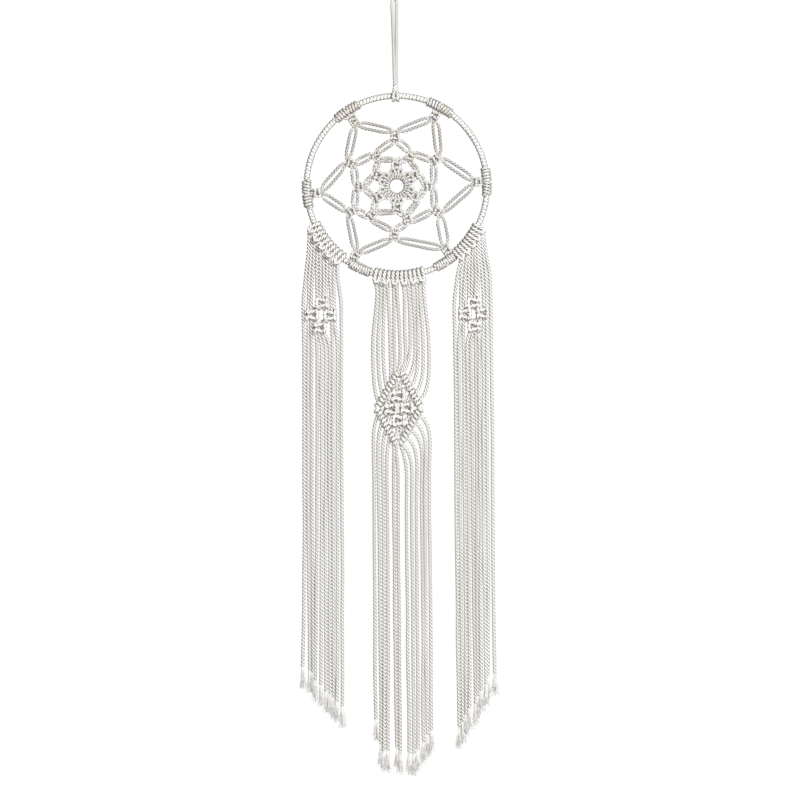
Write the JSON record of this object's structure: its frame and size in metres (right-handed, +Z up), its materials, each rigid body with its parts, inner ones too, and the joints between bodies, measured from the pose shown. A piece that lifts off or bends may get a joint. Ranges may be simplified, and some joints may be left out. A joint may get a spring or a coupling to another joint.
{
  "type": "dream catcher",
  "caption": "Macrame wall hanging: a cord-wrapped hoop with a knotted star web, slant-cut cord fringes with knotted diamonds, and a hanging loop.",
  "frame": {"origin": "the spot at the crown of the hanging loop where it bears on its hook", "axes": "+Z up, +X to the right as seen from the front, the front faces -Y"},
  "size_m": [0.2074, 0.015, 0.9028],
  "materials": {
    "hanging_cord": "matt twisted cotton cord, natural off-white",
    "hoop_wrapping_cord": "matt twisted cotton cord, natural off-white",
    "web_cord": "matt twisted cotton cord, natural off-white",
    "fringe_cord": "matt twisted cotton cord, natural off-white",
    "hoop_wire": "plain steel wire, hidden by its wrapping",
    "ring_wire": "plain steel wire, hidden by the web's hitches"
  },
  "bodies": {
    "hanger_loop": {"hanger_loop": "hanging_cord"},
    "hanger_cords": {"hanger_cords": "hanging_cord"},
    "hanger_hitch": {"hanger_hitch": "hanging_cord"},
    "hoop": {"hoop_ring": "hoop_wire", "hoop_wrap": "hoop_wrapping_cord", "centre_ring": "ring_wire", "web_cord_01": "web_cord", "web_cord_02": "web_cord", "web_cord_03": "web_cord", "web_cord_04": "web_cord", "web_cord_05": "web_cord", "web_cord_06": "web_cord", "web_cord_07": "web_cord", "web_cord_08": "web_cord", "web_cord_09": "web_cord", "web_cord_10": "web_cord", "web_cord_11": "web_cord", "web_cord_12": "web_cord", "left_cord_1_hitch": "fringe_cord", "left_cord_2_hitch": "fringe_cord", "left_cord_3_hitch": "fringe_cord", "left_cord_4_hitch": "fringe_cord", "left_cord_5_hitch": "fringe_cord", "centre_cord_1_hitch": "fringe_cord", "centre_cord_2_hitch": "fringe_cord", "centre_cord_3_hitch": "fringe_cord", "centre_cord_4_hitch": "fringe_cord", "centre_cord_5_hitch": "fringe_cord", "centre_cord_6_hitch": "fringe_cord", "right_cord_1_hitch": "fringe_cord", "right_cord_2_hitch": "fringe_cord", "right_cord_3_hitch": "fringe_cord", "right_cord_4_hitch": "fringe_cord", "right_cord_5_hitch": "fringe_cord"},
    "left_fringe": {"left_cord_1_legs": "fringe_cord", "left_cord_2_legs": "fringe_cord", "left_cord_3_legs": "fringe_cord", "left_cord_4_legs": "fringe_cord", "left_cord_5_legs": "fringe_cord"},
    "centre_fringe": {"centre_cord_1_legs": "fringe_cord", "centre_cord_2_legs": "fringe_cord", "centre_cord_3_legs": "fringe_cord", "centre_cord_4_legs": "fringe_cord", "centre_cord_5_legs": "fringe_cord", "centre_cord_6_legs": "fringe_cord"},
    "right_fringe": {"right_cord_1_legs": "fringe_cord", "right_cord_2_legs": "fringe_cord", "right_cord_3_legs": "fringe_cord", "right_cord_4_legs": "fringe_cord", "right_cord_5_legs": "fringe_cord"}
  },
  "joints": [
    {"name": "hanger_sway", "type": "hinge", "parent": "hanger_loop", "child": "hanger_cords", "pos_m": [0, 0, -0.0724], "axis": [0, 1, 0], "range_deg": [-40, 40]},
    {"name": "hoop_turn", "type": "hinge", "parent": "hanger_cords", "child": "hanger_hitch", "pos_m": [0, 0, -0.16], "axis": [0, 0, 1], "range_deg": [-180, 180]},
    {"name": "hoop_tilt", "type": "hinge", "parent": "hanger_hitch", "child": "hoop", "pos_m": [0, 0, -0.1734], "axis": [1, 0, 0], "range_deg": [-75, 75]},
    {"name": "left_fringe_swing", "type": "hinge", "parent": "hoop", "child": "left_fringe", "pos_m": [-0.0815, 0, -0.364], "axis": [1, 0, 0], "range_deg": [-80, 80]},
    {"name": "centre_fringe_swing", "type": "hinge", "parent": "hoop", "child": "centre_fringe", "pos_m": [0, 0, -0.3796], "axis": [1, 0, 0], "range_deg": [-80, 80]},
    {"name": "right_fringe_swing", "type": "hinge", "parent": "hoop", "child": "right_fringe", "pos_m": [0.0834, 0, -0.364], "axis": [1, 0, 0], "range_deg": [-80, 80]}
  ]
}
